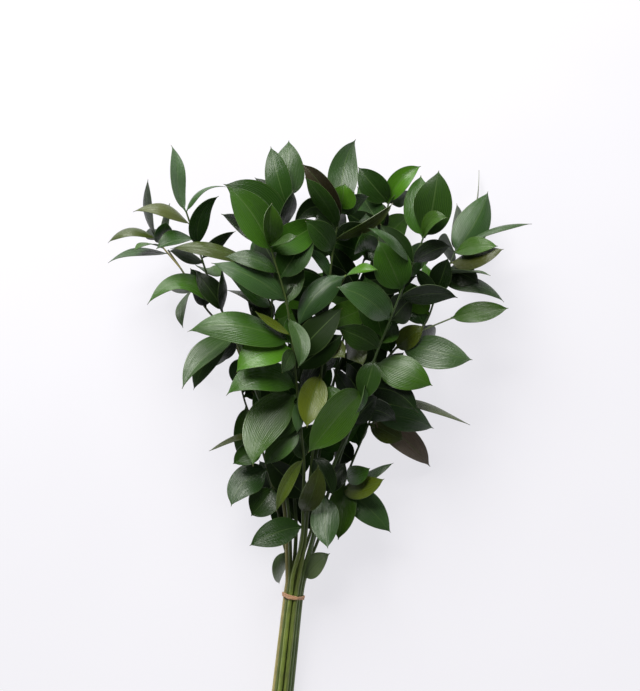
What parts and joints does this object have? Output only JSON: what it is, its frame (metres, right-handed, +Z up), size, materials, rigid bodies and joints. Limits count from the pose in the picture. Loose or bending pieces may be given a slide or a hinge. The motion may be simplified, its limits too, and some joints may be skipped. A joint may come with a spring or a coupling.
{
  "type": "tied bunch of fresh ruscus stems",
  "caption": "Bunch of leafy green ruscus stems held by a rubber band, lying down, for floral displays and table dressing.",
  "frame": {"origin": "centre of the bounding box, on the surface that the bunch lies on", "axes": "+Y along the bunch towards the stem tips, +X to the right of the side that faces up, +Z up"},
  "size_m": [0.4936, 0.7158, 0.1994],
  "materials": {
    "ruscus": "waxy dark green leaves on olive green stems",
    "band": "matt tan rubber"
  },
  "bodies": {
    "root": {"stem_front": "ruscus", "stem_centre": "ruscus", "stem_left": "ruscus", "stem_low_inner": "ruscus", "stem_right_centre": "ruscus", "stem_far_left": "ruscus", "stem_back_left": "ruscus", "stem_centre_back": "ruscus", "stem_right": "ruscus", "stem_low_left": "ruscus", "stem_top_right": "ruscus", "stem_low_outer": "ruscus", "rubber_band": "band"}
  },
  "joints": []
}
